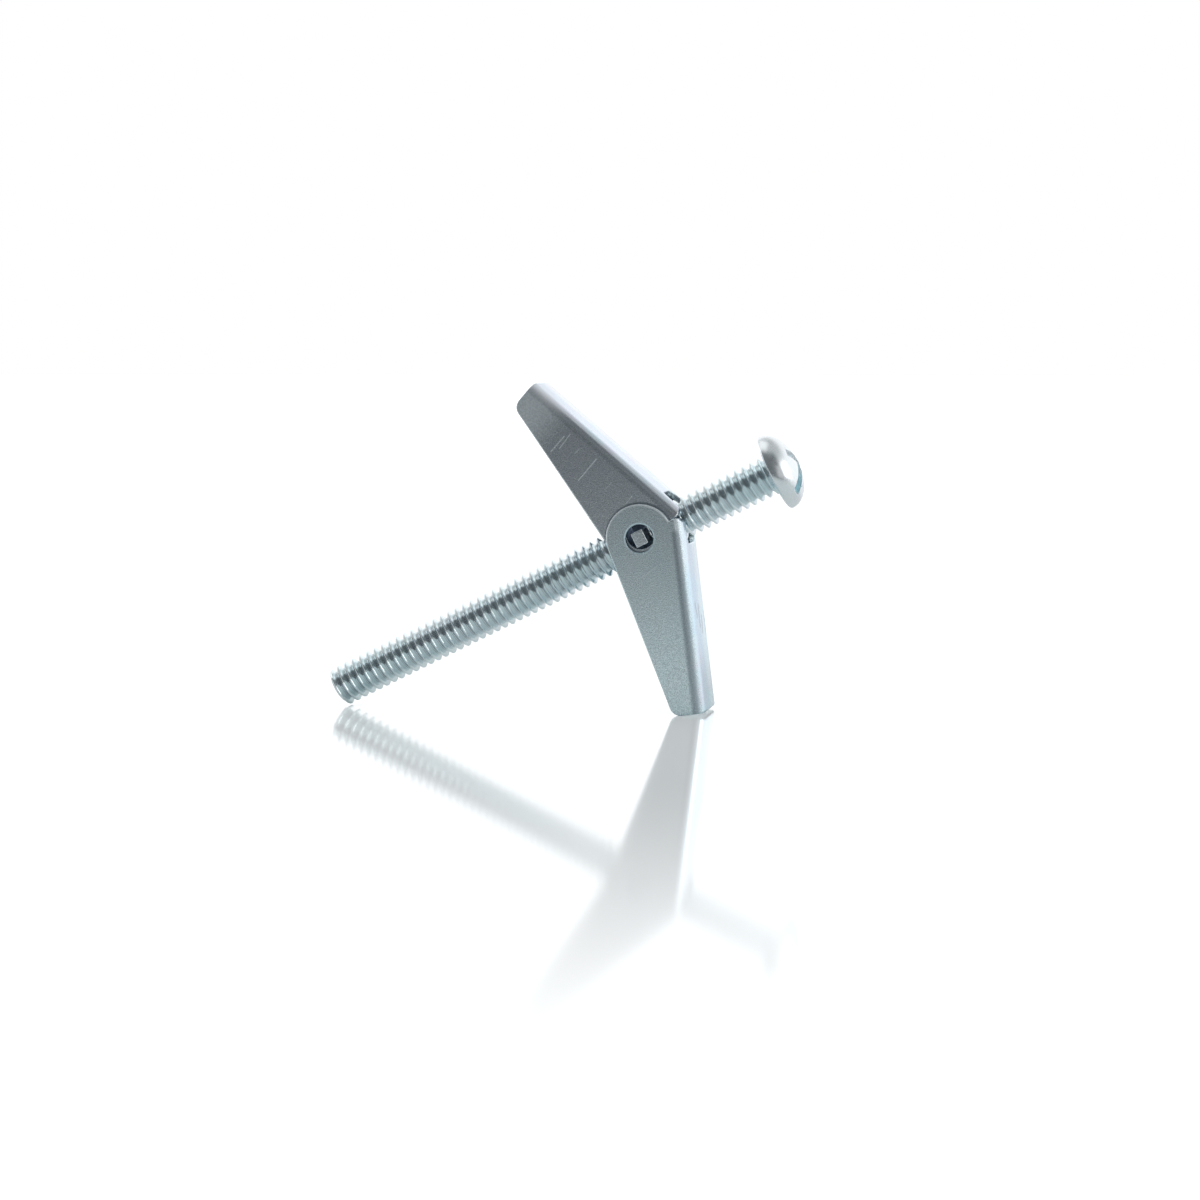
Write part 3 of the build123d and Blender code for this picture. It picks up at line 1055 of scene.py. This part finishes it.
spring_tree, size, geometry = geometry_tree(
    "spring_half",
    [
        ("Leg", "Float"),
        ("Coil radius", "Float"),
        ("Coil angle", "Float"),
        ("Rise", "Float"),
        ("Wire radius", "Float"),
        ("Points", "Int"),
        ("Material", "Material"),
    ],
)
t = spring_tree
path = add_node(
    t,
    "GeometryNodeResampleCurve",
    {"Curve": t.nodes.new("GeometryNodeCurvePrimitiveLine").outputs["Curve"], "Count": size["Points"]},
)
share = t.nodes.new("GeometryNodeSplineParameter").outputs["Factor"]
whole = calc(t, "ADD", size["Leg"], calc(t, "MULTIPLY", size["Coil radius"], size["Coil angle"]))
run = calc(t, "MULTIPLY", share, whole)
left = calc(t, "MAXIMUM", calc(t, "SUBTRACT", size["Leg"], run), 0.0)
wound = calc(t, "MAXIMUM", calc(t, "SUBTRACT", run, size["Leg"]), 0.0)
wrap = calc(t, "DIVIDE", wound, size["Coil radius"])
wire_point = add_node(
    t,
    "ShaderNodeCombineXYZ",
    {
        "X": calc(t, "MULTIPLY", size["Coil radius"], calc(t, "COSINE", wrap)),
        "Y": calc(t, "SUBTRACT", left, calc(t, "MULTIPLY", size["Coil radius"], calc(t, "SINE", wrap))),
        "Z": calc(t, "MULTIPLY", size["Rise"], wrap),
    },
).outputs[0]
bent = add_node(t, "GeometryNodeSetPosition", {"Geometry": path.outputs[0], "Position": wire_point})
ring = add_node(
    t, "GeometryNodeCurvePrimitiveCircle", {"Resolution": WIRE_SIDES, "Radius": size["Wire radius"]}
)
wire = add_node(
    t,
    "GeometryNodeCurveToMesh",
    {"Curve": bent.outputs[0], "Profile Curve": ring.outputs["Curve"], "Fill Caps": True},
)
coat(t, wire.outputs[0], size["Material"], geometry)
print("tree:", t.name, len(t.nodes), "nodes")

# %% Two halves of the spring
WIRE_R = 0.25
WIRE_SPACING = 0.06
WIRE_POINTS = 120
WIRE_SHARP = radians(50)
COIL_CLEARANCE = 0.2
LEG_REACH = 11.0
SPRING_CLEARANCE = 0.04

coil_r = hypot(STRIP, TAB_WIDTH) / 2 + COIL_CLEARANCE + WIRE_R
coil_pitch = 2 * WIRE_R + WIRE_SPACING
lower_rise = WEB - SHEET - WIRE_R - SPRING_CLEARANCE
upper_rise = lower_rise + upper_lift * sin(upper_spine - pi / 2)


def leg_slope(rise):
    """Angle between a wing's spine and its spring leg."""
    return atan2(rise, LEG_REACH) - asin(coil_r / hypot(LEG_REACH, rise))


lower_leg = lower_spine + leg_slope(lower_rise)
upper_leg = upper_spine - leg_slope(upper_rise)
coil_turn = pi + upper_leg - lower_leg
coil_start = PIVOT + PIVOT_AXIS * (collar_r + SPRING_CLEARANCE + WIRE_R)
coil_end = coil_start + PIVOT_AXIS * (coil_pitch * coil_turn / (2 * pi))
for name, body, centre, hand, leg, rise in (
    ("spring_lower", "lower_wing", coil_start, 1, lower_leg, lower_rise),
    ("spring_upper", "upper_wing", coil_end, -1, upper_leg, upper_rise),
):
    side = side_view(leg + hand * pi / 2)
    half = grow(
        name,
        spring_tree,
        {
            "Leg": sqrt(LEG_REACH**2 + rise**2 - coil_r**2),
            "Coil radius": coil_r,
            "Coil angle": coil_turn / 2,
            "Rise": coil_pitch / (2 * pi),
            "Wire radius": WIRE_R,
            "Points": WIRE_POINTS,
            "Material": spring_steel,
        },
        frame_matrix(centre, side, side_view(leg), PIVOT_AXIS * hand),
        WIRE_SHARP,
    )
    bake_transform(half)
    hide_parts("torsion_spring")

# %% [markdown]
# ## The table and the light
# The bolt lies on a glossy white table before a white ground. The floor is white for the
# camera and keeps the bolt's shadow. In front of the bolt it mixes in a blurred mirror that
# weakens with distance, which gives the fading reflection. A faint glow of the floor is seen
# only by the metal, and lights the underside of the lower web. Distances on the floor are in
# metres towards the front, from under the bolt.

# %% Floor
FLOOR_SIZE = 6.0
WHITE = rgb(1, 1, 1)
# The matt colour darkens away from the bolt towards the front, a painted falloff of light that the metal
# sees in the floor; for the camera the lift keeps the floor white.
MATT_NEAR = rgb(0.78, 0.80, 0.80)
MATT_FAR_SHADE = rgb(0.24, 0.25, 0.27)
MATT_FADE = (0.08, 0.40)
LIFT_NEAR = 0.60
LIFT_FAR = 0.97
BACK_LIFT = 0.4
BACK_LIFT_FADE = (-1.5, -0.2)
FRONT_GLOW = 0.08
FRONT_GLOW_FADE = (0.08, 0.30)
BACK_GLOW = 0.27
BACK_GLOW_FADE = (-0.20, -0.05)
GLOW_BEHIND = rgb(0.97, 0.99, 1.09)
GLOW_BELOW = rgb(0.65, 1.0, 1.05)
GLOW_CHANGE = (-0.12, -0.02)
MIRROR_ROUGH = 0.075
MIRROR_SHARE = 0.60
MIRROR_START = (-0.035, -0.012)
MIRROR_FADE = (0.07, 0.29)

bm = bmesh.new()
bmesh.ops.create_grid(bm, x_segments=1, y_segments=1, size=FLOOR_SIZE)
floor = solid_from("floor", bm, Matrix.Identity(4))
floor_white = bpy.data.materials.new("floor_white")
floor_white.use_nodes = True
tree = floor_white.node_tree
tree.nodes.remove(tree.nodes["Principled BSDF"])
rays = add_node(tree, "ShaderNodeLightPath").outputs
place = add_node(tree, "ShaderNodeTexCoord").outputs["Object"]
forward = dot(tree, place, -PIVOT_AXIS)
far = remap(tree, forward, *MATT_FADE)
matt = add_node(tree, "ShaderNodeBsdfDiffuse", {"Color": mix_colour(tree, far, MATT_NEAR, MATT_FAR_SHADE)})
front_lift = remap(tree, forward, *MATT_FADE, LIFT_NEAR, LIFT_FAR)
lift = calc(tree, "ADD", front_lift, remap(tree, forward, *BACK_LIFT_FADE, BACK_LIFT, 0.0))
for_camera = calc(tree, "MULTIPLY", rays["Is Camera Ray"], lift)
front_glow = remap(tree, forward, *FRONT_GLOW_FADE, FRONT_GLOW, 0.0)
glow = calc(tree, "ADD", front_glow, remap(tree, forward, *BACK_GLOW_FADE, BACK_GLOW, 0.0))
for_metal = calc(tree, "MULTIPLY", rays["Is Glossy Ray"], glow)
glow_colour = mix_colour(tree, remap(tree, forward, *GLOW_CHANGE), GLOW_BEHIND, GLOW_BELOW)
light = add_node(
    tree,
    "ShaderNodeEmission",
    {
        "Color": mix_colour(tree, rays["Is Camera Ray"], glow_colour, WHITE),
        "Strength": calc(tree, "ADD", for_camera, for_metal),
    },
)
lit = add_node(tree, "ShaderNodeAddShader", {0: matt.outputs[0], 1: light.outputs[0]})
mirror = add_node(tree, "ShaderNodeBsdfGlossy", {"Color": WHITE, "Roughness": MIRROR_ROUGH})
fading = remap(tree, forward, *MIRROR_FADE, MIRROR_SHARE, 0.0)
in_front = calc(tree, "MULTIPLY", remap(tree, forward, *MIRROR_START), fading)
gloss = calc(tree, "MULTIPLY", rays["Is Camera Ray"], in_front)
glossy = add_node(tree, "ShaderNodeMixShader", {0: gloss, 1: lit.outputs[0], 2: mirror.outputs[0]})
tree.links.new(glossy.outputs[0], tree.nodes["Material Output"].inputs["Surface"])
floor.data.materials.append(floor_white)
print("floor", 2 * FLOOR_SIZE, "m across")

# %% [markdown]
# Bright metal shows the room round it, so the world is drawn as a studio. It is white behind
# the bolt, brighter on the left, grey overhead and dark in front, where the flanges and the
# band along the thread find their tone. A small dark patch high on the right shades the upper
# wing's bend. The camera itself sees plain white. Two soft lamps do the rest at a plain level.

# %% World and lamps
SIDE_WALLS = rgb(0.55, 0.56, 0.57)
BACK_WALL = rgb(1.08, 1.10, 1.12)
BACK_WALL_FROM = (-0.2, 0.5)
LEFT_WALL = rgb(1.35, 1.38, 1.40)
LEFT_WALL_UNTIL = (-0.85, -0.55)
CEILING = rgb(0.5, 0.52, 0.53)
CEILING_FROM = (0.5, 0.85)
DARK = rgb(0.145, 0.16, 0.17)
DARK_PATCHES = (
    ((-0.317, -0.871, 0.375), (0.47, 0.80)),
    ((0.396, -0.472, 0.788), (0.914, 0.970)),
)
LAMP_AIM = (0, 0, 0.025)
LAMPS = (
    ("right_box", (0.83, -0.04, 0.36), 0.48, 0.48, 1.1),
    ("top_box", (-0.19, 0.07, 0.70), 0.55, 0.45, 0.45),
)

world = bpy.data.worlds.new("studio")
bpy.context.scene.world = world
world.use_nodes = True
tree = world.node_tree
direction = add_node(tree, "ShaderNodeTexCoord").outputs["Generated"]
part = add_node(tree, "ShaderNodeSeparateXYZ", {0: direction}).outputs
room = mix_colour(tree, remap(tree, part["Y"], *BACK_WALL_FROM), SIDE_WALLS, BACK_WALL)
room = mix_colour(tree, remap(tree, part["X"], *LEFT_WALL_UNTIL, 1.0, 0.0), room, LEFT_WALL)
room = mix_colour(tree, remap(tree, part["Z"], *CEILING_FROM), room, CEILING)
shade = 0.0
for middle, edge in DARK_PATCHES:
    shade = calc(tree, "MAXIMUM", shade, remap(tree, dot(tree, direction, middle), *edge))
room = mix_colour(tree, shade, room, DARK)
camera_ray = add_node(tree, "ShaderNodeLightPath").outputs["Is Camera Ray"]
shown = mix_colour(tree, camera_ray, room, WHITE)
tree.links.new(shown, tree.nodes["Background"].inputs["Color"])
tree.nodes["Background"].inputs["Strength"].default_value = 1.0

for name, place, width, height, power in LAMPS:
    data = bpy.data.lights.new(name, "AREA")
    data.shape = "RECTANGLE"
    data.size = width
    data.size_y = height
    data.energy = power
    lamp = bpy.data.objects.new(name, data)
    lamp.location = place
    lamp.rotation_euler = (Vector(LAMP_AIM) - Vector(place)).to_track_quat("-Z", "Y").to_euler()
    bpy.context.scene.collection.objects.link(lamp)

bpy.context.scene.view_settings.view_transform = "Standard"
